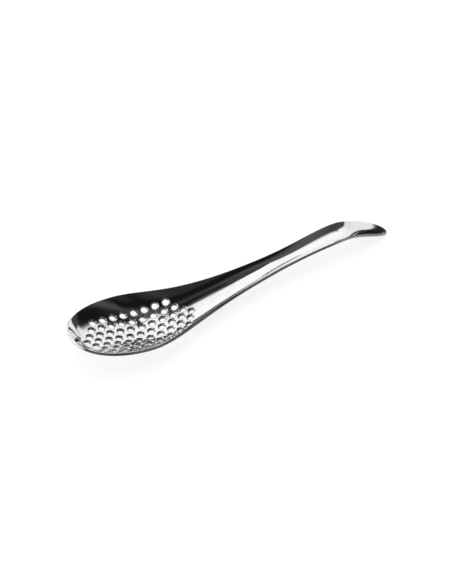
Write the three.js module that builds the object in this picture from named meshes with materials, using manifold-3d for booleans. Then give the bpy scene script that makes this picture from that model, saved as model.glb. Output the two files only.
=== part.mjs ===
// Perforated spoon for lifting soft pearls out of a setting bath.
// It is a single pressing: a stainless sheet is pierced, drawn into a shallow bowl,
// rolled into a channel for a handle and hooked down at its end.
// Lengths are in millimetres and angles in radians. The sheet is first described as it
// lies in the press die, with X from the front of the bowl to the tip of the handle,
// Y across and Z up. It is then laid down on its bowl and its hooked tip, as it rests.

import * as THREE from 'three';
import Module from 'manifold-3d';
import { mergeVertices } from 'three/addons/utils/BufferGeometryUtils.js';

// Sheet
const sheetThickness = 1.5;

// Runs along X, each from the section before it, starting at the front of the bowl
const wallFootRun = 11;
const widestRun = 23.6;
const shoulderRun = 27.9;
const waistRun = 17.5;
const throatRun = 23.4;
const neckRun = 30.6;
const gripRun = 29.4;
const crestRun = 7.8;
const hookRun = 12.3;
const toeRun = 9.5;
const tipRun = 7;

// Widths of the outline
const bowlWidth = 53.5;
const shoulderWidth = 37.4;
const throatWidth = 19.1;
const neckWidth = 14.6;
const gripWidth = 17;
const tipWidth = 15.9;
const frontFullness = 2.2;
const tipRoundingLength = 17.3;
const tipFullness = 2.45;

// Heights of the rim
const frontRimHeight = 17.7;
const widestRimHeight = 16.85;
const shoulderRimHeight = 17.95;
const throatRimHeight = 23.85;
const neckRimHeight = 29.9;
const gripRimHeight = 35.35;
const crestRimHeight = 35.8;
const hookRimHeight = 33.25;
const toeRimHeight = 30.25;
const tipRimHeight = 27.65;

// Depths of the hollow below the rim, at the middle of the sheet. The front wall is
// steep, and turns into the gentle floor of the bowl between its own run and its foot.
const frontWallSlope = 0.9;
const frontWallRun = 5;
const frontWallDepth = 4.5;
const wallFootDepth = 6.1;
const deepestRun = 42;
const bowlDepth = 10.3;
const shoulderDepth = 8.45;
const waistDepth = 5.65;
const throatDepth = 3.15;
const neckDepth = 2.65;
const crestDepth = 1.45;

// How flat the floor of each section is: 2 is a parabola, more has a flatter floor
const bowlFlatness = 2.04;
const shoulderFlatness = 3.6;
const throatFlatness = 3.3;
const handleFlatness = 2;

// Perforation, measured along the sheet
const holeDiameter = 3.6;
const dishDiameter = 4.9;
const dishDepth = 0.45;
const holePitch = 6.37;
const rowPitch = 5.5;
const rowDrawIn = 0.28;
const firstHoleFromFront = 10.5;
const holesInMiddleRow = 11;
const rowsBesideMiddle = 3;
const plainBandAtRim = 1.5;

// Flats worn where the spoon touches the table
const restFlatDepth = 0.12;

// Fineness of the facets
const stepsAlong = 54;
const stepsAcross = 14;
const holeSides = 10;

const wallFootAt = wallFootRun;
const widestAt = wallFootAt + widestRun;
const shoulderAt = widestAt + shoulderRun;
const waistAt = shoulderAt + waistRun;
const throatAt = waistAt + throatRun;
const neckAt = throatAt + neckRun;
const gripAt = neckAt + gripRun;
const crestAt = gripAt + crestRun;
const hookAt = crestAt + hookRun;
const toeAt = hookAt + toeRun;
const overallLength = toeAt + tipRun;

// A smooth curve through stations of [place, value], with a given slope at its start and
// no bending at its end. It is the usual cubic spline.
function smoothCurve(startSlope, stations) {
  const last = stations.length - 1;
  const place = stations.map((station) => station[0]);
  const value = stations.map((station) => station[1]);
  const span = (i) => place[i + 1] - place[i];
  const slope = (i) => (value[i + 1] - value[i]) / span(i);
  const carry = [0.5];
  const load = [(3 * (slope(0) - startSlope)) / span(0)];
  for (let i = 1; i < last; i += 1) {
    const pivot = 2 * (span(i - 1) + span(i)) - span(i - 1) * carry[i - 1];
    carry.push(span(i) / pivot);
    load.push((6 * (slope(i) - slope(i - 1)) - span(i - 1) * load[i - 1]) / pivot);
  }
  const bend = new Array(last + 1).fill(0);
  for (let i = last - 1; i >= 0; i -= 1) {
    bend[i] = load[i] - carry[i] * bend[i + 1];
  }
  return (at) => {
    let i = 0;
    while (i < last - 1 && at > place[i + 1]) {
      i += 1;
    }
    const t = at - place[i];
    const start = slope(i) - (span(i) * (2 * bend[i] + bend[i + 1])) / 6;
    const twist = (bend[i + 1] - bend[i]) / (6 * span(i));
    return value[i] + t * (start + t * (bend[i] / 2 + t * twist));
  };
}

const sideLine = smoothCurve(0, [
  [widestAt, bowlWidth / 2],
  [shoulderAt, shoulderWidth / 2],
  [throatAt, throatWidth / 2],
  [neckAt, neckWidth / 2],
  [gripAt, gripWidth / 2],
  [overallLength, tipWidth / 2],
]);

const rimLine = smoothCurve(0, [
  [0, frontRimHeight],
  [widestAt, widestRimHeight],
  [shoulderAt, shoulderRimHeight],
  [throatAt, throatRimHeight],
  [neckAt, neckRimHeight],
  [gripAt, gripRimHeight],
  [crestAt, crestRimHeight],
  [hookAt, hookRimHeight],
  [toeAt, toeRimHeight],
  [overallLength, tipRimHeight],
]);

const depthLine = smoothCurve(frontWallSlope, [
  [0, 0],
  [frontWallRun, frontWallDepth],
  [wallFootAt, wallFootDepth],
  [deepestRun, bowlDepth],
  [shoulderAt, shoulderDepth],
  [waistAt, waistDepth],
  [throatAt, throatDepth],
  [neckAt, neckDepth],
  [crestAt, crestDepth],
  [overallLength, 0],
]);

const flatnessLine = smoothCurve(0, [
  [0, bowlFlatness],
  [wallFootAt, bowlFlatness],
  [widestAt, bowlFlatness],
  [shoulderAt, shoulderFlatness],
  [throatAt, throatFlatness],
  [neckAt, handleFlatness],
  [overallLength, handleFlatness],
]);

// A rounded end: 0 at its edge, rising to 1 where share reaches 1
function roundedEnd(share, fullness) {
  const left = 1 - Math.min(Math.max(share, 0), 1);
  return (1 - left ** fullness) ** (1 / fullness);
}

function halfWidth(x) {
  const front = roundedEnd(x / widestAt, frontFullness);
  const tip = roundedEnd((overallLength - x) / tipRoundingLength, tipFullness);
  return sideLine(Math.max(x, widestAt)) * front * tip;
}

// Height of the upper face of the sheet
function faceHeight(x, y) {
  const share = y === 0 ? 0 : Math.min(Math.abs(y) / halfWidth(x), 1);
  return rimLine(x) - depthLine(x) * (1 - share ** flatnessLine(x));
}

// Upward normal of the upper face, by small differences towards the middle of the sheet
function faceNormal(x, y) {
  const reach = 0.02;
  const inward = y > 0 ? -reach : reach;
  const towards = x > overallLength / 2 ? -reach : reach;
  const place = THREE.MathUtils.clamp(x, reach, overallLength - reach);
  const side = Math.sign(y) * Math.min(Math.abs(y), halfWidth(place));
  const level = faceHeight(place, side);
  const alongSlope = (faceHeight(place + towards, side) - level) / towards;
  const acrossSlope = (faceHeight(place, side + inward) - level) / inward;
  return new THREE.Vector3(-alongSlope, -acrossSlope, 1).normalize();
}

function facePoint(x, y) {
  return new THREE.Vector3(x, y, faceHeight(x, y));
}

function undersidePoint(x, y) {
  return facePoint(x, y).addScaledVector(faceNormal(x, y), -sheetThickness);
}

// The bare pressing: an upper and a lower skin of the same grid, joined round the rim
function pressedSheet() {
  const points = [];
  const triangles = [];
  const addPoint = (point) => points.push(point.x, point.y, point.z) / 3 - 1;
  const addStrip = (a, b, c, d) => triangles.push(a, b, c, b, d, c);

  const skin = (pointAt) => {
    const rows = [];
    for (let i = 0; i <= stepsAlong; i += 1) {
      const x = (overallLength * (1 - Math.cos((Math.PI * i) / stepsAlong))) / 2;
      const atEnd = i === 0 || i === stepsAlong;
      if (atEnd) {
        rows.push(new Array(stepsAcross + 1).fill(addPoint(pointAt(x, 0))));
        continue;
      }
      const row = [];
      for (let j = 0; j <= stepsAcross; j += 1) {
        const turn = (j / stepsAcross - 0.5) * Math.PI;
        row.push(addPoint(pointAt(x, halfWidth(x) * Math.sin(turn))));
      }
      rows.push(row);
    }
    return rows;
  };
  const upper = skin(facePoint);
  const lower = skin(undersidePoint);

  for (let i = 0; i < stepsAlong; i += 1) {
    for (let j = 0; j < stepsAcross; j += 1) {
      addStrip(upper[i][j], upper[i + 1][j], upper[i][j + 1], upper[i + 1][j + 1]);
      addStrip(lower[i + 1][j], lower[i][j], lower[i + 1][j + 1], lower[i][j + 1]);
    }
    addStrip(lower[i][0], lower[i + 1][0], upper[i][0], upper[i + 1][0]);
    const j = stepsAcross;
    addStrip(upper[i][j], upper[i + 1][j], lower[i][j], lower[i + 1][j]);
  }

  const geometry = new THREE.BufferGeometry();
  geometry.setAttribute('position', new THREE.Float32BufferAttribute(points, 3));
  geometry.setIndex(triangles);
  return geometry;
}

// Place along the middle of the sheet, for a length measured on its surface
function placeAlongSheet(length) {
  const stride = 0.25;
  let x = 0;
  let walked = 0;
  while (walked < length) {
    walked += Math.hypot(stride, faceHeight(x + stride, 0) - faceHeight(x, 0));
    x += stride;
  }
  return x;
}

// Place across one section, for a length measured on its surface from the middle.
// It is null where less than the plain band would be left at the rim.
function placeAcrossSheet(x, length) {
  const stride = 0.05;
  const edge = halfWidth(x);
  let y = 0;
  let walked = 0;
  let found = null;
  while (y < edge) {
    walked += Math.hypot(stride, faceHeight(x, y + stride) - faceHeight(x, y));
    y += stride;
    if (found === null && walked >= length) {
      found = y;
    }
  }
  const kept = walked - length >= holeDiameter / 2 + plainBandAtRim;
  return kept ? found : null;
}

// Centres of the holes. Rows are offset by half a pitch and lose a hole each towards the
// sides. They are pierced flat and the draw pulls them apart most at mid bowl.
function holeCentres() {
  const centres = [];
  const halfRow = ((holesInMiddleRow - 1) / 2) * holePitch;
  for (let row = -rowsBesideMiddle; row <= rowsBesideMiddle; row += 1) {
    const order = Math.abs(row);
    for (let i = 0; i < holesInMiddleRow - order; i += 1) {
      const fromFirst = (i + order / 2) * holePitch;
      const fromMiddle = (fromFirst - halfRow) / halfRow;
      const spread = order * rowPitch * (1 - rowDrawIn * fromMiddle ** 2);
      const x = placeAlongSheet(firstHoleFromFront + fromFirst);
      const y = placeAcrossSheet(x, spread);
      if (y !== null) {
        centres.push([x, y * Math.sign(row)]);
      }
    }
  }
  return centres;
}

// Punch for one hole: a straight shank that flares into the shallow dish of the mouth
function punchProfile() {
  const holeRadius = holeDiameter / 2;
  const flare = (dishDiameter - holeDiameter) / 2 / dishDepth;
  const overshoot = 0.8;
  const below = -2 * sheetThickness;
  return [
    new THREE.Vector2(0, below),
    new THREE.Vector2(holeRadius, below),
    new THREE.Vector2(holeRadius, -dishDepth),
    new THREE.Vector2(holeRadius + flare * (dishDepth + overshoot), overshoot),
    new THREE.Vector2(0, overshoot),
  ];
}

const wasm = await Module();
wasm.setup();

function toSolid(geometry) {
  const bare = geometry.clone();
  bare.deleteAttribute('normal');
  bare.deleteAttribute('uv');
  const merged = mergeVertices(bare);
  const corners = merged.index.array;
  const triangles = [];
  for (let i = 0; i < corners.length; i += 3) {
    const [a, b, c] = [corners[i], corners[i + 1], corners[i + 2]];
    if (a !== b && b !== c && c !== a) {
      triangles.push(a, b, c);
    }
  }
  return new wasm.Manifold(new wasm.Mesh({
    numProp: 3,
    vertProperties: new Float32Array(merged.attributes.position.array),
    triVerts: new Uint32Array(triangles),
  }));
}

function toGeometry(solid) {
  const mesh = solid.getMesh();
  const geometry = new THREE.BufferGeometry();
  geometry.setAttribute('position', new THREE.BufferAttribute(mesh.vertProperties, 3));
  geometry.setIndex(new THREE.BufferAttribute(mesh.triVerts, 1));
  geometry.computeVertexNormals();
  return geometry;
}

function punches() {
  const shape = new THREE.LatheGeometry(punchProfile(), holeSides);
  const axis = new THREE.Vector3(0, 1, 0);
  return holeCentres().map(([x, y]) => {
    const turn = new THREE.Quaternion().setFromUnitVectors(axis, faceNormal(x, y));
    const seat = new THREE.Matrix4().compose(facePoint(x, y), turn, new THREE.Vector3(1, 1, 1));
    return toSolid(shape.clone().applyMatrix4(seat));
  });
}

// Tilt that brings the underside of the bowl and the end of the hook down to one level
function restingPitch() {
  const tip = undersidePoint(overallLength, 0);
  const stride = 0.5;
  let steepest = 0;
  for (let x = widestAt; x < neckAt; x += stride) {
    const bowl = undersidePoint(x, 0);
    steepest = Math.max(steepest, (tip.z - bowl.z) / (tip.x - bowl.x));
  }
  return Math.atan(steepest);
}

function laidDown(geometry) {
  geometry.rotateY(restingPitch());
  geometry.computeBoundingBox();
  const box = geometry.boundingBox;
  const middle = (box.min.x + box.max.x) / 2;
  return geometry.translate(-middle, 0, -box.min.z - restFlatDepth);
}

function tableBlock() {
  const block = new THREE.BoxGeometry(2 * overallLength, 2 * bowlWidth, 2 * bowlDepth);
  return block.translate(0, 0, -bowlDepth);
}

const pierced = toSolid(pressedSheet()).subtract(wasm.Manifold.union(punches()));
const spoonBody = toSolid(laidDown(toGeometry(pierced))).subtract(toSolid(tableBlock()));

const polishedSteel = new THREE.MeshStandardMaterial({
  color: 0xc9cacc,
  roughness: 0.12,
  metalness: 1,
});

const spoon = new THREE.Mesh(toGeometry(spoonBody), polishedSteel);
spoon.name = 'spoon';

const part = new THREE.Group();
part.name = 'perforated_spoon';
part.add(spoon);

export default part;
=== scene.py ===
# Perforated stainless spoon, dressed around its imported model.
# The pressing is built again from its own sizes, fine enough for a mirror polish: both
# faces, the rounded rim and every dished hole are one closed mesh.
# Sheet sizes are in millimetres as the spoon lies in its press die, X from the front of
# the bowl to the tip, Y across, Z up. The mesh is then laid down as it rests, in metres.
import math
import bpy
import numpy as np
from mathutils import Matrix, Vector
from mathutils.geometry import delaunay_2d_cdt


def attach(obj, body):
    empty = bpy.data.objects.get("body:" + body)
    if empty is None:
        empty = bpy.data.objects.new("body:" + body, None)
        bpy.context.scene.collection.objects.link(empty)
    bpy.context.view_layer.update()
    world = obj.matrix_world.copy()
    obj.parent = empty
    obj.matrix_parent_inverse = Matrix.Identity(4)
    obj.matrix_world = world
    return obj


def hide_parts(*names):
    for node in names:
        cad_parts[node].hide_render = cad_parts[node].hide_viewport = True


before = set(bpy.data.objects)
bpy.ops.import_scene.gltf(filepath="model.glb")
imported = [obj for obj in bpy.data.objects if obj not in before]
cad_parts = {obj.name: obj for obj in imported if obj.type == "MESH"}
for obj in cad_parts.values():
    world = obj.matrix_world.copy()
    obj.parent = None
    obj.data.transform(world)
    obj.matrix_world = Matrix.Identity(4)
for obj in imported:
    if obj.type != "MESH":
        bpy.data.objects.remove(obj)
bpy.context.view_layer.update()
scene = bpy.context.scene
scene.view_settings.view_transform = "Standard"
millimetre = 0.001    # in metres
print("frame loaded:", sorted(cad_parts))


# Camera, at the photograph's angle
cameraSet = {
    "azimuth": -23.80,    # degrees, 0 looks along +Y
    "elevation": 37.51,
    "roll": -8.52,    # the picture leans this much against the resting spoon
    "lookAt": (-9.37, -5.41, 10.0),    # millimetres
    "distance": 687.7,
    "nearestSeen": 10.0,
    "lens": 76.456,
    "sensorHeight": 36.0,
}


def makeCamera(values):
    az = math.radians(values["azimuth"])
    el = math.radians(values["elevation"])
    roll = math.radians(values["roll"])
    forward = Vector((-math.sin(az) * math.cos(el), math.cos(az) * math.cos(el), -math.sin(el)))
    level = Vector((math.cos(az), math.sin(az), 0))
    upright = level.cross(forward)
    right = level * math.cos(roll) + upright * math.sin(roll)
    up = upright * math.cos(roll) - level * math.sin(roll)
    data = bpy.data.cameras.new("pictureCamera")
    data.sensor_fit = "VERTICAL"
    data.sensor_height = values["sensorHeight"]
    data.lens = values["lens"]
    data.clip_start = values["nearestSeen"] * millimetre
    camera = bpy.data.objects.new("pictureCamera", data)
    place = (Vector(values["lookAt"]) - forward * values["distance"]) * millimetre
    turn = Matrix((right, up, -forward)).transposed().to_4x4()
    camera.matrix_world = Matrix.Translation(place) @ turn
    scene.collection.objects.link(camera)
    return camera


scene.camera = makeCamera(cameraSet)
print("camera set")


# Form of the pressed sheet
sheetSet = {
    "thickness": 1.5,
    "runs": {    # along X, each from the section before it
        "wallFoot": 11,
        "widest": 23.6,
        "shoulder": 27.9,
        "waist": 17.5,
        "throat": 23.4,
        "neck": 30.6,
        "grip": 29.4,
        "crest": 7.8,
        "hook": 12.3,
        "toe": 9.5,
        "tip": 7,
    },
    "widths": {    # across, from rim to rim
        "widest": 53.5,
        "shoulder": 37.4,
        "throat": 19.1,
        "neck": 14.6,
        "grip": 17,
        "tip": 15.9,
    },
    "frontFullness": 2.2,    # 2 is an ellipse, more is squarer
    "tipRounding": 17.3,
    "tipFullness": 2.45,
    "rimHeights": {    # above the bed of the die
        "front": 17.7,
        "widest": 16.85,
        "shoulder": 17.95,
        "throat": 23.85,
        "neck": 29.9,
        "grip": 35.35,
        "crest": 35.8,
        "hook": 33.25,
        "toe": 30.25,
        "tip": 27.65,
    },
    "frontWallSlope": 0.9,
    "frontWallRun": 5,
    "frontWallDepth": 4.5,
    "wallFootDepth": 6.1,
    "deepestRun": 42,
    "bowlDepth": 10.3,
    "depths": {    # of the hollow, below the rim
        "shoulder": 8.45,
        "waist": 5.65,
        "throat": 3.15,
        "neck": 2.65,
        "crest": 1.45,
        "tip": 0,
    },
    "flatness": {    # 2 is a round hollow, more is a flatter floor
        "front": 2.04,
        "wallFoot": 2.04,
        "widest": 2.04,
        "shoulder": 3.6,
        "throat": 3.3,
        "neck": 2,
        "tip": 2,
    },
    "restFlatDepth": 0.12,    # worn away where it touches the table
}

station = {"front": 0.0}    # X of each section
for sectionName, sectionRun in sheetSet["runs"].items():
    station[sectionName] = max(station.values()) + sectionRun
overallLength = station["tip"]


def smoothCurve(startSlope, stations):    # cubic spline, straight at its far end
    place = np.array([s[0] for s in stations], float)
    value = np.array([s[1] for s in stations], float)
    span = np.diff(place)
    slope = np.diff(value) / span
    last = len(place) - 1
    pull = np.zeros((last + 1, last + 1))
    load = np.zeros(last + 1)
    pull[0, :2] = 2 * span[0], span[0]
    load[0] = 6 * (slope[0] - startSlope)
    for i in range(1, last):
        pull[i, i - 1:i + 2] = span[i - 1], 2 * (span[i - 1] + span[i]), span[i]
        load[i] = 6 * (slope[i] - slope[i - 1])
    pull[last, last] = 1
    bend = np.linalg.solve(pull, load)

    def curve(x):
        i = np.clip(np.searchsorted(place, x) - 1, 0, last - 1)
        t = x - place[i]
        start = slope[i] - span[i] * (2 * bend[i] + bend[i + 1]) / 6
        twist = (bend[i + 1] - bend[i]) / (6 * span[i])
        return value[i] + t * (start + t * (bend[i] / 2 + t * twist))

    return curve


def atStations(values, share=1.0):
    return [(station[name], value * share) for name, value in values.items()]


sideLine = smoothCurve(0, atStations(sheetSet["widths"], 0.5))
rimLine = smoothCurve(0, atStations(sheetSet["rimHeights"]))
flatnessLine = smoothCurve(0, atStations(sheetSet["flatness"]))
frontWall = [
    (0, 0),
    (sheetSet["frontWallRun"], sheetSet["frontWallDepth"]),
    (station["wallFoot"], sheetSet["wallFootDepth"]),
    (sheetSet["deepestRun"], sheetSet["bowlDepth"]),
]
depthLine = smoothCurve(sheetSet["frontWallSlope"], frontWall + atStations(sheetSet["depths"]))


def roundedEnd(share, fullness):    # superellipse, 0 at the very end and 1 where the rounding stops
    left = 1 - np.clip(share, 0, 1)
    return (1 - left ** fullness) ** (1 / fullness)


def halfWidth(x):
    front = roundedEnd(x / station["widest"], sheetSet["frontFullness"])
    tip = roundedEnd((overallLength - x) / sheetSet["tipRounding"], sheetSet["tipFullness"])
    return sideLine(np.maximum(x, station["widest"])) * front * tip


def faceHeight(x, y):
    leastWidth = 1e-9    # the outline closes at both ends
    share = np.minimum(np.abs(y) / np.maximum(halfWidth(x), leastWidth), 1)
    return rimLine(x) - depthLine(x) * (1 - share ** flatnessLine(x))


def facePoint(x, y):
    return np.stack([x, y, faceHeight(x, y)], -1)


def unit(v):
    return v / np.linalg.norm(v, axis=-1, keepdims=True)


def faceNormal(x, y):
    reach = 0.02    # millimetres between the heights compared
    inward = np.where(y > 0, -reach, reach)
    towards = np.where(x > overallLength / 2, -reach, reach)
    place = np.clip(x, reach, overallLength - reach)
    side = np.sign(y) * np.minimum(np.abs(y), halfWidth(place))
    level = faceHeight(place, side)
    along = (faceHeight(place + towards, side) - level) / towards
    across = (faceHeight(place, side + inward) - level) / inward
    return unit(np.stack([-along, -across, np.ones_like(level)], -1))


# Holes, dished on the upper face
holeSet = {
    "diameter": 3.6,
    "dishDiameter": 4.9,
    "dishDepth": 0.45,
    "pitch": 6.37,
    "rowPitch": 5.5,
    "rowDrawIn": 0.28,    # share by which a row's ends come nearer to the middle row
    "firstFromFront": 10.5,
    "inMiddleRow": 11,
    "rowsBesideMiddle": 3,
    "lipRadius": 0.6,    # where the dish leaves the face
    "mouthRadius": 0.2,    # where the dish turns down into the bore
    "exitRadius": 0.14,    # where the bore leaves the underside
    "sides": 36,
    "arcSteps": 5,
    "stepAlong": 0.25,    # for measuring on the face
    "stepAcross": 0.05,
}


def walkedTo(length, place, height):    # first place that lies this far along a line on the face
    walked = np.cumsum(np.hypot(np.diff(place), np.diff(height)))
    return place[1 + np.searchsorted(walked, length)]


def holeCentres():
    centres = []
    beside = holeSet["rowsBesideMiddle"]
    halfRow = (holeSet["inMiddleRow"] - 1) / 2 * holeSet["pitch"]
    alongPlaces = np.arange(0, overallLength, holeSet["stepAlong"])
    alongHeights = faceHeight(alongPlaces, 0 * alongPlaces)
    for row in range(-beside, beside + 1):
        order = abs(row)
        for i in range(holeSet["inMiddleRow"] - order):
            fromFirst = (i + order / 2) * holeSet["pitch"]
            fromMiddle = (fromFirst - halfRow) / halfRow
            spread = order * holeSet["rowPitch"] * (1 - holeSet["rowDrawIn"] * fromMiddle ** 2)
            x = walkedTo(holeSet["firstFromFront"] + fromFirst, alongPlaces, alongHeights)
            acrossPlaces = np.arange(0, halfWidth(x), holeSet["stepAcross"])
            y = walkedTo(spread, acrossPlaces, faceHeight(x, acrossPlaces)) if order else 0
            centres.append((x, y * np.sign(row)))
    return np.array(centres)


def roundedCorner(centre, radius, start, end):    # radius from the axis, depth and lean of each ring
    turns = np.linspace(start, end, holeSet["arcSteps"] + 1)
    return [(centre[0] - radius * math.sin(a), centre[1] - radius * math.cos(a), a) for a in turns]


def holeProfile():
    bore = holeSet["diameter"] / 2
    dish = holeSet["dishDiameter"] / 2
    flare = math.atan2(holeSet["dishDepth"], dish - bore)
    lip = holeSet["lipRadius"]
    mouth = holeSet["mouthRadius"]
    leave = holeSet["exitRadius"]
    wall = math.pi / 2
    lipCentre = (dish + lip * math.tan(flare / 2), lip)
    mouthCentre = (bore + mouth, holeSet["dishDepth"] + mouth * math.tan((wall - flare) / 2))
    exitCentre = (bore + leave, sheetSet["thickness"] - leave)
    rings = roundedCorner(lipCentre, lip, 0, flare)
    rings += roundedCorner(mouthCentre, mouth, flare, wall)
    rings += roundedCorner(exitCentre, leave, wall, 2 * wall)
    return rings


# Plan of the skins: outline, hole rings and an even field of points between them
meshSet = {
    "spacing": 0.85,
    "rimStep": 0.75,
    "rimRadius": 0.3,
    "rimArcSteps": 6,
    "clearance": 0.55,    # share of the spacing kept free beside a ring or the rim
    "rowStarts": (0.25, 0.5),    # share of the spacing before the first point, row by row
    "outlineSamples": 1500,
    "insetRounds": 4,    # each brings the points nearer to their place on the face
    "ringRounds": 5,
    "joinReach": 1e-6,    # plan points closer than this are one
}


def outlineLoop():
    samples = meshSet["outlineSamples"]
    turn = np.linspace(0, math.pi / 2, samples)
    front = station["widest"] * (1 - np.cos(turn) ** (2 / sheetSet["frontFullness"]))
    tip = overallLength - sheetSet["tipRounding"] * (1 - np.cos(turn) ** (2 / sheetSet["tipFullness"]))
    middle = np.linspace(station["widest"], tip[-1], 2 * samples)
    x = np.concatenate([front, middle[1:-1], tip[::-1]])
    side = np.stack([x, halfWidth(x)], -1)
    whole = np.concatenate([side * [1, -1], side[-2:0:-1]])    # anticlockwise from above
    whole = np.concatenate([whole, whole[:1]])
    walked = np.concatenate([[0], np.cumsum(np.linalg.norm(np.diff(whole, axis=0), axis=1))])
    count = 2 * round(walked[-1] / meshSet["rimStep"] / 2)
    stops = np.linspace(0, walked[-1], count, endpoint=False)
    return np.stack([np.interp(stops, walked, whole[:, k]) for k in (0, 1)], -1)


def insetLoop(loop, reach):    # moved inward by a length measured on the face
    along = unit(np.roll(loop, -1, 0) - np.roll(loop, 1, 0))
    inward = np.stack([-along[:, 1], along[:, 0]], -1)
    run = np.full(len(loop), reach)
    for _ in range(meshSet["insetRounds"]):
        moved = loop + inward * run[:, None]
        rise = faceHeight(moved[:, 0], moved[:, 1]) - faceHeight(loop[:, 0], loop[:, 1])
        run = run * reach / np.hypot(run, rise)
    return loop + inward * run[:, None]


def ringOnFace(centre, radius):    # plan points of a circle round a hole's axis
    x, y = centre
    middle = facePoint(x, y)
    axis = faceNormal(x, y)
    east = unit(np.cross([0, 1, 0], axis))
    north = np.cross(axis, east)
    turn = np.linspace(0, 2 * math.pi, holeSet["sides"], endpoint=False)[:, None]
    flat = middle + radius * (np.cos(turn) * east + np.sin(turn) * north)
    lift = np.zeros(len(flat))
    for _ in range(meshSet["ringRounds"]):
        point = flat + lift[:, None] * axis
        lift = lift + (faceHeight(point[:, 0], point[:, 1]) - point[:, 2]) * axis[2]
    return (flat + lift[:, None] * axis)[:, :2]


def fieldPoints(rim, rings):
    gap = meshSet["spacing"]
    rowGap = gap * math.sqrt(3) / 2
    rowsBeside = math.ceil(sheetSet["widths"]["widest"] / 2 / rowGap)
    points = []
    for j in range(-rowsBeside, rowsBeside + 1):
        x = np.arange(gap * meshSet["rowStarts"][j % 2], overallLength, gap)
        points.append(np.stack([x, np.full(len(x), j * rowGap)], -1))
    points = np.concatenate(points)
    points = points[np.abs(points[:, 1]) < halfWidth(points[:, 0])]
    fixed = np.concatenate([rim] + rings)
    nearest = np.array([np.min(np.hypot(*(fixed - p).T)) for p in points])
    points = points[nearest > gap * meshSet["clearance"]]
    points = points[insideLoop(points, rim)]
    for ring in rings:
        points = points[~insideLoop(points, ring)]
    return points


def insideLoop(points, loop):
    x, y = points[:, :1], points[:, 1:]
    x0, y0 = loop.T
    x1, y1 = np.roll(loop, -1, 0).T
    level = (y0 > y) != (y1 > y)
    rise = np.where(y1 == y0, 1, y1 - y0)
    crossed = level & (x < x0 + (y - y0) * (x1 - x0) / rise)
    return crossed.sum(1) % 2 == 1


def skinOver(rim, rings):    # plan points and triangles of one skin: the rim first, then each ring
    loops = [rim] + rings
    field = fieldPoints(rim, rings)
    points = np.concatenate(loops + [field])
    owner = [np.full(len(loop), k) for k, loop in enumerate(loops)]
    owner = np.concatenate(owner + [np.full(len(field), -1)])    # number of its loop, or -1 in the field
    edges = []
    start = 0
    for loop in loops:
        n = len(loop)
        edges += [(start + i, start + (i + 1) % n) for i in range(n)]
        start += n
    corners = [Vector(p) for p in points]
    wholeHull = 0    # the kind of result wanted: triangles over the whole hull
    result = delaunay_2d_cdt(corners, edges, [], wholeHull, meshSet["joinReach"], True)
    source = [origin[0] for origin in result[3]]
    triangles = np.array([[source[i] for i in face] for face in result[2]])
    owners = owner[triangles]    # a triangle with all its corners on one ring spans that hole
    inHole = (owners[:, 0] > 0) & (owners[:, 0] == owners[:, 1]) & (owners[:, 0] == owners[:, 2])
    triangles = triangles[~inHole]
    middle = points[triangles].mean(1)
    return points, triangles[insideLoop(middle, rim)]


class SheetMesh:    # collects points, their normals and faces, with a finish for each face
    def __init__(self):
        self.points = []
        self.normals = []
        self.faces = []
        self.finishes = []
        self.count = 0

    def addPoints(self, points, normals):
        first = self.count
        self.points.append(points)
        self.normals.append(normals)
        self.count += len(points)
        return np.arange(first, self.count)

    def addFaces(self, faces, finish):
        self.faces += [tuple(int(i) for i in face) for face in faces]
        self.finishes += [finish] * len(faces)

    def addStrip(self, outer, inner, finish):    # quads between two closed loops
        nextOuter = np.roll(outer, -1)
        nextInner = np.roll(inner, -1)
        self.addFaces(np.stack([outer, nextOuter, nextInner, inner], -1), finish)


faceFinish, rimFinish, boreFinish = range(3)    # in the order of steelSet


def addRim(sheet, edge, up, upperLoop, lowerLoop):    # rolled from one skin to the other
    radius = meshSet["rimRadius"]
    along = unit(np.roll(edge, -1, 0) - np.roll(edge, 1, 0))
    out = unit(np.cross(along, up))
    quarter = np.linspace(0, math.pi / 2, meshSet["rimArcSteps"] + 1)
    turns = [(a, radius) for a in quarter[1:]]
    turns += [(math.pi / 2 + a, sheetSet["thickness"] - radius) for a in quarter[:-1]]
    loops = [upperLoop]
    for a, centreDepth in turns:
        lean = out * math.sin(a) + up * math.cos(a)
        loops.append(sheet.addPoints(edge - centreDepth * up + radius * lean, lean))
    loops.append(lowerLoop)
    for outer, inner in zip(loops, loops[1:]):
        sheet.addStrip(inner, outer, rimFinish)


def addHole(sheet, centre, profile, mouthLoop, exitLoop):    # dish, mouth and bore
    middle = facePoint(*centre)
    firstBore = holeSet["arcSteps"] + 1
    loops = [mouthLoop]
    for reach, sink, a in profile[1:-1]:
        ring = ringOnFace(centre, reach)
        point = facePoint(*ring.T)
        up = faceNormal(*ring.T)
        away = point - middle
        away = unit(away - (away * up).sum(-1, keepdims=True) * up)
        lean = up * math.cos(a) - away * math.sin(a)
        loops.append(sheet.addPoints(point - sink * up, lean))
    loops.append(exitLoop)
    for i, (outer, inner) in enumerate(zip(loops, loops[1:])):
        sheet.addStrip(outer, inner, faceFinish if i < firstBore else boreFinish)


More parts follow.
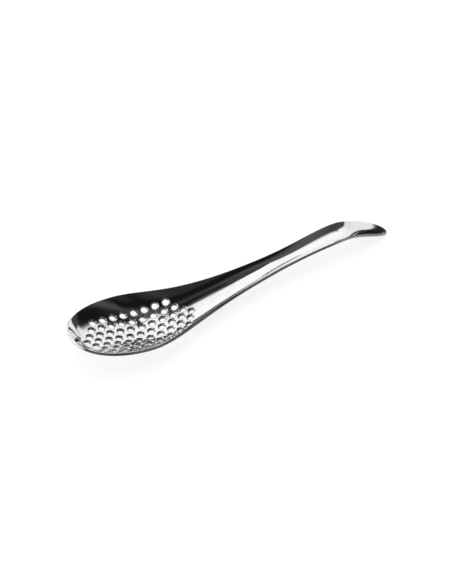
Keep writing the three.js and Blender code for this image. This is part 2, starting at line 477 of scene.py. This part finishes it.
def buildSheet():
    sheet = SheetMesh()
    profile = holeProfile()
    centres = holeCentres()
    rim = insetLoop(outlineLoop(), meshSet["rimRadius"])

    mouths = [ringOnFace(c, profile[0][0]) for c in centres]
    plan, triangles = skinOver(rim, mouths)
    face = facePoint(*plan.T)
    normal = faceNormal(*plan.T)
    upper = sheet.addPoints(face, normal)
    sheet.addFaces(upper[triangles], faceFinish)
    print("upper skin:", len(plan), "points")

    exits = [ringOnFace(c, profile[-1][0]) for c in centres]
    planBelow, trianglesBelow = skinOver(rim, exits)
    normalBelow = faceNormal(*planBelow.T)
    faceBelow = facePoint(*planBelow.T) - sheetSet["thickness"] * normalBelow
    lower = sheet.addPoints(faceBelow, -normalBelow)
    sheet.addFaces(lower[trianglesBelow][:, ::-1], faceFinish)
    print("lower skin:", len(planBelow), "points")

    n = len(rim)
    addRim(sheet, face[:n], normal[:n], upper[:n], lower[:n])
    print("rim rolled:", n, "points round it")

    sides = holeSet["sides"]
    for k, centre in enumerate(centres):
        ring = slice(n + k * sides, n + (k + 1) * sides)
        addHole(sheet, centre, profile, upper[ring], lower[ring])
    print("holes:", len(centres))
    return sheet


def laidDown(points, normals):    # tilted onto the bowl and the hooked tip, then centred as the CAD model is
    def underside(x):
        return facePoint(x, 0 * x) - sheetSet["thickness"] * faceNormal(x, 0 * x)

    contactStep = 0.5    # millimetres between the places tried under the bowl
    tip = underside(np.array([overallLength]))[0]
    bowl = underside(np.arange(station["widest"], station["neck"], contactStep))
    pitch = math.atan(np.max((tip[2] - bowl[:, 2]) / (tip[0] - bowl[:, 0])))
    turn = np.array(Matrix.Rotation(pitch, 3, "Y"))
    points = points @ turn.T
    normals = normals @ turn.T
    x = points[:, 0]
    lowest = points[:, 2].min() + sheetSet["restFlatDepth"]
    points = points - [(x.min() + x.max()) / 2, 0, lowest]
    worn = points[:, 2] < 0
    points[worn, 2] = 0
    normals[worn] = (0, 0, -1)
    return points * millimetre, normals


def makeSpoon():
    sheet = buildSheet()
    points, normals = laidDown(np.concatenate(sheet.points), np.concatenate(sheet.normals))
    mesh = bpy.data.meshes.new("pressed_spoon")
    mesh.from_pydata(points.tolist(), [], sheet.faces)
    mesh.polygons.foreach_set("material_index", sheet.finishes)
    mesh.polygons.foreach_set("use_smooth", [True] * len(sheet.faces))
    mesh.update()
    mesh.normals_split_custom_set_from_vertices(normals.tolist())
    piece = bpy.data.objects.new("pressed_spoon", mesh)
    scene.collection.objects.link(piece)
    return piece


spoon = makeSpoon()
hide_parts("spoon")
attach(spoon, "root")
print("spoon made:", len(spoon.data.polygons), "faces")


# Finish of the steel
def newGroup(name, values, masks):    # takes a vector and named values, gives masks
    tree = bpy.data.node_groups.new(name, "ShaderNodeTree")
    tree.interface.new_socket("Vector", in_out="INPUT", socket_type="NodeSocketVector")
    for valueName, value in values.items():
        socket = tree.interface.new_socket(valueName, in_out="INPUT", socket_type="NodeSocketFloat")
        socket.default_value = value
    for maskName in masks:
        tree.interface.new_socket(maskName, in_out="OUTPUT", socket_type="NodeSocketFloat")
    given = tree.nodes.new("NodeGroupInput").outputs
    result = tree.nodes.new("NodeGroupOutput").inputs
    return tree, given, result


def addNode(tree, kind, links=None, **settings):    # links: socket name or number, and a value or a socket
    node = tree.nodes.new("ShaderNode" + kind)
    for name, value in settings.items():
        setattr(node, name, value)
    for name, value in (links or {}).items():
        if isinstance(value, bpy.types.NodeSocket):
            tree.links.new(value, node.inputs[name])
        else:
            node.inputs[name].default_value = value
    return node


def combined(tree, kind, first, second):
    return addNode(tree, "Math", {0: first, 1: second}, operation=kind).outputs[0]


def stretched(tree, vector, factors):
    return addNode(tree, "VectorMath", {0: vector, 1: factors}, operation="MULTIPLY").outputs[0]


def remapped(tree, value, low, high, first=0, last=1, kind="LINEAR"):    # low to high becomes first to last
    ends = {"Value": value, "From Min": low, "From Max": high, "To Min": first, "To Max": last}
    return addNode(tree, "MapRange", ends, interpolation_type=kind).outputs[0]


def noise(tree, vector, scale, detail, roughness=0.5, distortion=0):
    values = {"Vector": vector, "Scale": scale, "Detail": detail}
    values.update({"Roughness": roughness, "Distortion": distortion})
    return addNode(tree, "TexNoise", values).outputs[0]


def makePolishingLines():    # long streaks left by the buff, along the spoon
    tree, given, result = newGroup("polishingLines", {"Along": 30, "Across": 700}, ["Streaks", "Grain"])
    across = given["Across"]
    factors = addNode(tree, "CombineXYZ", {"X": given["Along"], "Y": across, "Z": across})
    drawn = stretched(tree, given["Vector"], factors.outputs[0])
    streaks = noise(tree, drawn, scale=1, detail=3, roughness=0.65)
    tree.links.new(remapped(tree, streaks, low=0.3, high=0.72), result["Streaks"])
    tree.links.new(noise(tree, drawn, scale=4.5, detail=2), result["Grain"])
    return tree


def makeFineScratches():    # short hairlines of use, crossing each other
    tree, given, result = newGroup("fineScratches", {"Amount": 0.5}, ["Mask"])
    hairStretch = (85, 2300, 600)
    directions = ((0.35, 0), (-0.62, 3.1), (1.25, 7.4))    # a turn in radians, and a shift of the noise
    total = 0
    for turn, shift in directions:
        turned = {"Vector": given["Vector"], "Angle": turn}
        turned = addNode(tree, "VectorRotate", turned, rotation_type="Z_AXIS").outputs[0]
        drawn = stretched(tree, turned, hairStretch)
        moved = addNode(tree, "VectorMath", {0: drawn, 1: (shift, shift, shift)}, operation="ADD")
        hair = noise(tree, moved.outputs[0], scale=1, detail=1, roughness=0.4)
        total = combined(tree, "MAXIMUM", remapped(tree, hair, low=0.66, high=0.74), total)
    patch = remapped(tree, noise(tree, given["Vector"], scale=70, detail=2), low=0.42, high=0.62)
    mask = combined(tree, "MULTIPLY", combined(tree, "MULTIPLY", total, patch), given["Amount"])
    tree.links.new(mask, result["Mask"])
    return tree


def makeHandlingFilm():    # faint smears and dried wipe marks
    tree, given, result = newGroup("handlingFilm", {"Size": 60, "Cover": 0.5}, ["Mask"])
    wipeStretch = (70, 420, 420)
    smear = noise(tree, given["Vector"], scale=given["Size"], detail=4, distortion=1.1)
    smear = remapped(tree, smear, low=0.4, high=0.7, kind="SMOOTHSTEP")
    wipe = noise(tree, stretched(tree, given["Vector"], wipeStretch), scale=1, detail=2)
    mask = combined(tree, "MULTIPLY", combined(tree, "MULTIPLY", smear, wipe), given["Cover"])
    tree.links.new(mask, result["Mask"])
    return tree


def makeTinyDents():    # pits of tumbling and small knocks
    tree, given, result = newGroup("tinyDents", {"Size": 1500, "Amount": 0.5}, ["Mask"])
    cells = {"Vector": given["Vector"], "Scale": given["Size"], "Randomness": 1}
    cells = addNode(tree, "TexVoronoi", cells).outputs["Distance"]
    pit = remapped(tree, cells, low=0.05, high=0.4, first=1, last=0)
    patch = remapped(tree, noise(tree, given["Vector"], scale=240, detail=2), low=0.45, high=0.65)
    mask = combined(tree, "MULTIPLY", combined(tree, "MULTIPLY", pit, patch), given["Amount"])
    tree.links.new(mask, result["Mask"])
    return tree


polishingLines = makePolishingLines()
fineScratches = makeFineScratches()
handlingFilm = makeHandlingFilm()
tinyDents = makeTinyDents()
print("finish groups built")

# Each finish: clean and dulled colour, roughness with what each effect adds, and depths in metres
steelSet = {
    "mirrorFace": {
        "clean": (0.87, 0.87, 0.875, 1),
        "dulled": (0.79, 0.79, 0.8, 1),
        "roughness": 0.052,
        "streakDull": 0.03,
        "scratchDull": 0.14,
        "filmDull": 0.09,
        "dentDull": 0.05,
        "linesAlong": 26,
        "linesAcross": 650,
        "scratches": 0.5,
        "filmSize": 58,
        "filmCover": 0.75,
        "dentSize": 900,
        "dents": 0.12,
        "grainDepth": 0.0000012,
        "wearDepth": 0.000002,
    },
    "tumbledRim": {
        "clean": (0.84, 0.84, 0.845, 1),
        "dulled": (0.66, 0.66, 0.67, 1),
        "roughness": 0.1,
        "streakDull": 0.04,
        "scratchDull": 0.15,
        "filmDull": 0.06,
        "dentDull": 0.16,
        "linesAlong": 60,
        "linesAcross": 900,
        "scratches": 0.8,
        "filmSize": 90,
        "filmCover": 0.5,
        "dentSize": 1900,
        "dents": 0.7,
        "grainDepth": 0.000003,
        "wearDepth": 0.000008,
    },
    "piercedBore": {
        "clean": (0.78, 0.78, 0.785, 1),
        "dulled": (0.52, 0.52, 0.53, 1),
        "roughness": 0.23,
        "streakDull": 0.12,
        "scratchDull": 0.1,
        "filmDull": 0.12,
        "dentDull": 0.15,
        "linesAlong": 1600,
        "linesAcross": 1600,
        "scratches": 0.3,
        "filmSize": 260,
        "filmCover": 0.9,
        "dentSize": 2400,
        "dents": 0.6,
        "grainDepth": 0.000009,
        "wearDepth": 0.00001,
    },
}


def makeSteel(name, values):
    material = bpy.data.materials.new(name)
    material.use_nodes = True
    tree = material.node_tree
    shader = tree.nodes["Principled BSDF"]
    shader.inputs["Metallic"].default_value = 1
    place = addNode(tree, "TexCoord").outputs["Object"]

    def effect(group, **inputs):
        return addNode(tree, "Group", {"Vector": place, **inputs}, node_tree=group).outputs

    lines = effect(polishingLines, Along=values["linesAlong"], Across=values["linesAcross"])
    scratches = effect(fineScratches, Amount=values["scratches"])["Mask"]
    film = effect(handlingFilm, Size=values["filmSize"], Cover=values["filmCover"])["Mask"]
    dents = effect(tinyDents, Size=values["dentSize"], Amount=values["dents"])["Mask"]

    dulling = (
        (lines["Streaks"], values["streakDull"]),
        (scratches, values["scratchDull"]),
        (film, values["filmDull"]),
        (dents, values["dentDull"]),
    )
    roughness = values["roughness"]
    for mask, added in dulling:
        step = addNode(tree, "Math", {0: mask, 1: added, 2: roughness}, operation="MULTIPLY_ADD")
        roughness = step.outputs[0]
    tree.links.new(roughness, shader.inputs["Roughness"])

    worn = combined(tree, "MAXIMUM", scratches, dents)
    dull = combined(tree, "MAXIMUM", worn, film)
    colour = addNode(tree, "Mix", data_type="RGBA")    # its colours are sockets 6 and 7 in, 2 out
    tree.links.new(dull, colour.inputs[0])
    colour.inputs[6].default_value = values["clean"]
    colour.inputs[7].default_value = values["dulled"]
    tree.links.new(colour.outputs[2], shader.inputs["Base Color"])

    grain = {"Height": lines["Grain"], "Distance": values["grainDepth"], "Strength": 1}
    grain = addNode(tree, "Bump", grain).outputs[0]
    sunk = combined(tree, "SUBTRACT", 1, worn)
    wear = {"Height": sunk, "Distance": values["wearDepth"], "Strength": 1, "Normal": grain}
    wear = addNode(tree, "Bump", wear).outputs[0]
    tree.links.new(wear, shader.inputs["Normal"])
    return material


for finishName, finishValues in steelSet.items():
    spoon.data.materials.append(makeSteel(finishName, finishValues))
print("steel finished:", len(spoon.data.materials), "finishes")


# Paper sweep under and behind the spoon
sweepSet = {
    "colour": (0.8, 0.8, 0.8, 1),
    "drop": 0.00006,    # metres below the spoon
    "radius": 2.0,
    "bend": 0.4,
    "height": 0.65,
    "sides": 96,
    "bendSteps": 12,
    "whiteShare": 0.72,    # how far the paper shows as plain white behind the spoon
    "whiteNear": 1.2,    # its strength close to the spoon
    "paintedLightFarLeft": 1.38,    # and far away on the left, where it is stronger: painted light on the paper
    # far away on the right it is weaker: painted light, the paper dimmer on that side
    "paintedLightFarRight": 1.11,
    "nearToFar": (0.7, 1.5),    # metres from the spoon
    "leftToRight": (0.5, 1.5),    # metres along X, over which the painted light on the paper fades from left to right
}


def sweepSection():    # radius and height of each ring
    bend = sweepSet["bend"]
    bendStart = sweepSet["radius"] - bend
    floor = -sweepSet["drop"]
    section = [(bendStart, floor)]
    for i in range(1, sweepSet["bendSteps"] + 1):
        a = math.pi / 2 * i / sweepSet["bendSteps"]
        section.append((bendStart + bend * math.sin(a), floor + bend * (1 - math.cos(a))))
    section.append((sweepSet["radius"], sweepSet["height"]))
    return section


def makeSweepPaper():
    material = bpy.data.materials.new("paperSweep")
    material.use_nodes = True
    tree = material.node_tree
    tree.nodes.clear()
    ray = addNode(tree, "LightPath").outputs
    seen = combined(tree, "ADD", ray["Is Camera Ray"], ray["Is Glossy Ray"])
    seen = combined(tree, "ADD", seen, ray["Is Transmission Ray"])
    share = combined(tree, "MULTIPLY", seen, sweepSet["whiteShare"])
    place = addNode(tree, "TexCoord").outputs["Object"]
    along = addNode(tree, "SeparateXYZ", {0: place}).outputs["X"]
    away = addNode(tree, "VectorMath", {0: place}, operation="LENGTH").outputs["Value"]
    # painted light: the paper glows stronger far to the left and weaker far to the right
    far = remapped(tree, along, *sweepSet["leftToRight"], sweepSet["paintedLightFarLeft"], sweepSet["paintedLightFarRight"])
    strength = remapped(tree, away, *sweepSet["nearToFar"], sweepSet["whiteNear"], far)
    paper = addNode(tree, "BsdfDiffuse", {"Color": sweepSet["colour"]})
    white = addNode(tree, "Emission", {"Strength": strength})
    mix = addNode(tree, "MixShader", {0: share, 1: paper.outputs[0], 2: white.outputs[0]})
    addNode(tree, "OutputMaterial", {"Surface": mix.outputs[0]})
    return material


def makePaperSweep():
    sides = sweepSet["sides"]
    section = sweepSection()
    points = [(0, 0, -sweepSet["drop"])]
    faces = []
    for reach, height in section:
        for k in range(sides):
            a = 2 * math.pi * k / sides
            points.append((reach * math.cos(a), reach * math.sin(a), height))
    for k in range(sides):
        nextSide = (k + 1) % sides
        faces.append((0, 1 + k, 1 + nextSide))
        for j in range(len(section) - 1):
            inner = 1 + j * sides
            outer = inner + sides
            faces.append((inner + k, outer + k, outer + nextSide, inner + nextSide))
    mesh = bpy.data.meshes.new("paperSweep")
    mesh.from_pydata(points, [], faces)
    mesh.polygons.foreach_set("use_smooth", [True] * len(faces))
    mesh.materials.append(makeSweepPaper())
    sweep = bpy.data.objects.new("paperSweep", mesh)
    scene.collection.objects.link(sweep)


makePaperSweep()
print("paper sweep laid")


# Mats, cards and boards that only the polish sees, in metres from the middle of the spoon
cardSet = {
    "greyMat": {
        "grey": 0.33,
        "height": -0.00003,
        "corners": [(-0.22, -0.9), (0.9, -0.9), (0.9, 0.03), (0.11, 0.03), (0.1, 0.14), (-0.22, 0.14)],
    },
    "blackMat": {
        "grey": 0.015,
        "height": -0.00003,
        "corners": [(0.11, 0.03), (0.9, 0.03), (0.9, 0.9), (0.1, 0.14)],
    },
    "smallCard": {    # stands beside the handle
        "grey": 0.015,
        "behind": 0.142,
        "corners": [
            (0.054, 0),
            (0.091, 0),
            (0.091, 0.045),
            (0.086, 0.064),
            (0.077, 0.073),
            (0.065, 0.068),
            (0.057, 0.05),
        ],
    },
    "crestCard": {    # leans over, and ends the dark band before the crest
        "grey": 0.09,
        "corners": [
            (0.157, 0.1, 0.167),
            (0.168, 0.104, 0.158),
            (0.18, 0.107, 0.145),
            (0.2, 0.108, 0.127),
            (0.212, 0.109, 0.115),
            (0.222, 0.107, 0.107),
            (0.231, 0.104, 0.1),
            (0.254, 0.047, 0.1),
            (0.194, 0.033, 0.172),
            (0.154, 0.061, 0.189),
        ],
    },
    "neckCard": {    # rounds off the dark band over the neck
        "grey": 0.09,
        "height": 0.05,
        "corners": [
            (-0.021, 0.0445),
            (0.008, 0.0445),
            (0.0145, 0.042),
            (0.019, 0.0395),
            (0.0245, 0.0355),
            (0.0285, 0.0312),
            (0.031, 0.0265),
            (0.034, 0.0205),
            (0.037, 0.0125),
            (0.004, 0.012),
            (0.003, 0.032),
            (-0.002, 0.037),
            (-0.021, 0.037),
        ],
    },
}
boardSet = {
    "radius": 1.2,
    "steps": 24,
    "boards": [    # azimuths in degrees from +Y towards +X
        {"from": 27, "to": 58, "height": 0.09, "grey": 0.015},
        {"from": 79, "to": 105, "height": 0.6, "grey": 0.015},
        {"from": 105, "to": 180, "height": 0.6, "grey": 0.1},
        {"from": 180, "to": 240, "height": 0.6, "grey": 0.08},
    ],
}


def aim(azimuth, elevation=0.0):    # unit vector, azimuth from +Y towards +X
    az = math.radians(azimuth)
    el = math.radians(elevation)
    return Vector((math.sin(az) * math.cos(el), math.cos(az) * math.cos(el), math.sin(el)))


def placeFlag(name, points, faces, grey):    # hidden from the camera, the paper and the shadow
    mesh = bpy.data.meshes.new(name)
    mesh.from_pydata(points, [], faces)
    material = bpy.data.materials.new(name)
    material.use_nodes = True
    tree = material.node_tree
    tree.nodes.clear()
    card = addNode(tree, "BsdfDiffuse", {"Color": (grey, grey, grey, 1)})
    addNode(tree, "OutputMaterial", {"Surface": card.outputs[0]})
    mesh.materials.append(material)
    flag = bpy.data.objects.new(name, mesh)
    flag.visible_camera = False
    flag.visible_diffuse = False
    flag.visible_shadow = False
    scene.collection.objects.link(flag)


def makeCard(name, card):    # lies at a height, stands upright behind the spoon, or has its own corners
    corners = card["corners"]
    if "height" in card:
        corners = [(x, y, card["height"]) for x, y in corners]
    elif "behind" in card:
        corners = [(x, card["behind"], z) for x, z in corners]
    placeFlag(name, corners, [tuple(range(len(corners)))], card["grey"])


def makeBoard(name, board):    # curved round the spoon
    steps = boardSet["steps"]
    turn = (board["to"] - board["from"]) / steps
    points = []
    for k in range(steps + 1):
        foot = aim(board["from"] + turn * k) * boardSet["radius"]
        points += [(foot.x, foot.y, 0), (foot.x, foot.y, board["height"])]
    faces = [(2 * k, 2 * k + 2, 2 * k + 3, 2 * k + 1) for k in range(steps)]
    placeFlag(name, points, faces, board["grey"])


for cardName, cardValues in cardSet.items():
    makeCard(cardName, cardValues)
for boardNumber, boardValues in enumerate(boardSet["boards"], 1):
    makeBoard("flagBoard_" + str(boardNumber), boardValues)
print("flags set:", len(cardSet), "cards and", len(boardSet["boards"]), "boards")


# Light: soft white walls round a dark ceiling, and a lamp overhead for the shadow
lightSet = {
    # a wall's top is straight, and its slope is its height over its distance
    # a wall's end leans in over the wall by a share of its height
    "backWall": {"azimuth": -12, "slope": 1.08, "soft": (-0.04, 0.03)},
    "tallWall": {"azimuth": 27, "slope": 2.2, "soft": (-0.05, 0.07)},
    "tallWallEnds": [
        {"azimuth": 0, "outward": -90, "lean": 0.21, "soft": (-0.06, 0.06)},
        {"azimuth": 44, "outward": 90, "lean": 0.069, "soft": (-0.06, 0.06)},
    ],
    "sideWall": {"azimuth": 52, "slope": 0.95, "soft": (-0.05, 0.07)},
    "sideWallCorner": {"azimuth": 13, "slope": 1.41, "soft": (-0.05, 0.05)},    # cut off its top
    "sideWallEnd": {"azimuth": 83, "outward": 90, "lean": 0.232, "soft": (-0.07, 0.07)},
    "leftWall": {"azimuth": -50, "slope": 0.95, "soft": (-0.05, 0.07)},
    # strength of the walls, first to last as a direction turns to the azimuth, 1 is straight at it
    "rightStrength": {"azimuth": 90, "from": 0.5, "to": 0.85, "first": 1.1, "last": 0.72},
    "leftStrength": {"azimuth": -50, "from": 0, "to": 0.8, "first": 0.3, "last": 0.85},
    "ceilingStrength": 0.008,
    "glows": [    # faint light on the ceiling, reach in degrees
        {"azimuth": 65, "elevation": 70, "reach": 22, "strength": 0.09},
        {"azimuth": 100, "elevation": 53, "reach": 7, "strength": 0.04},
        {"azimuth": -166, "elevation": 38, "reach": 22, "strength": 0.022},
        {"azimuth": 143, "elevation": 26, "reach": 36, "strength": 0.12},
        {"azimuth": -95, "elevation": 70, "reach": 18, "strength": 0.6},
        {"azimuth": -120, "elevation": 40, "reach": 36, "strength": 0.08},
        {"azimuth": 106, "elevation": 44, "reach": 14, "strength": 0.07},
    ],
    "overhead": {"height": 1.3, "size": 1.6, "power": 14.0},
}


def makeWalls():
    world = bpy.data.worlds.new("studio")
    scene.world = world
    world.use_nodes = True
    tree = world.node_tree
    tree.nodes.clear()
    towards = addNode(tree, "TexCoord").outputs["Generated"]

    def facing(direction):
        dot = addNode(tree, "VectorMath", {0: towards, 1: direction.normalized()}, operation="DOT_PRODUCT")
        return dot.outputs["Value"]

    def fadingOut(direction, soft):    # 1 before a plane through the middle, 0 past it
        low, high = soft
        return remapped(tree, facing(direction), low, high, 1, 0, kind="SMOOTHSTEP")

    def underTop(wall):
        return fadingOut(Vector((0, 0, 1)) - aim(wall["azimuth"]) * wall["slope"], wall["soft"])

    def beforeEnd(end):
        outward = aim(end["azimuth"] + end["outward"])
        return fadingOut(outward + Vector((0, 0, end["lean"])), end["soft"])

    def strengthOf(values):
        towardsIt = facing(aim(values["azimuth"]))
        return remapped(tree, towardsIt, values["from"], values["to"], values["first"], values["last"])

    def product(first, *others):
        for other in others:
            first = combined(tree, "MULTIPLY", first, other)
        return first

    def brightest(first, *others):
        for other in others:
            first = combined(tree, "MAXIMUM", first, other)
        return first

    back = underTop(lightSet["backWall"])
    tall = product(underTop(lightSet["tallWall"]), *map(beforeEnd, lightSet["tallWallEnds"]))
    corner = underTop(lightSet["sideWallCorner"])
    side = product(underTop(lightSet["sideWall"]), corner, beforeEnd(lightSet["sideWallEnd"]))
    right = product(brightest(back, tall, side), strengthOf(lightSet["rightStrength"]))
    left = product(underTop(lightSet["leftWall"]), strengthOf(lightSet["leftStrength"]))
    ceiling = lightSet["ceilingStrength"]
    for glow in lightSet["glows"]:
        edge = math.cos(math.radians(glow["reach"]))
        spot = facing(aim(glow["azimuth"], glow["elevation"]))
        ceiling = combined(tree, "ADD", ceiling, remapped(tree, spot, edge, 1, 0, glow["strength"]))
    background = {"Color": (1, 1, 1, 1), "Strength": brightest(right, left, ceiling)}
    background = addNode(tree, "Background", background)
    addNode(tree, "OutputWorld", {"Surface": background.outputs[0]})


def makeOverhead(values):
    data = bpy.data.lights.new("overheadSoftbox", "AREA")
    data.size = values["size"]
    data.energy = values["power"]
    lamp = bpy.data.objects.new("overheadSoftbox", data)
    lamp.location = (0, 0, values["height"])
    lamp.visible_glossy = False    # lights the paper, and stays out of the polish
    scene.collection.objects.link(lamp)


makeWalls()
makeOverhead(lightSet["overhead"])
print("studio lit")
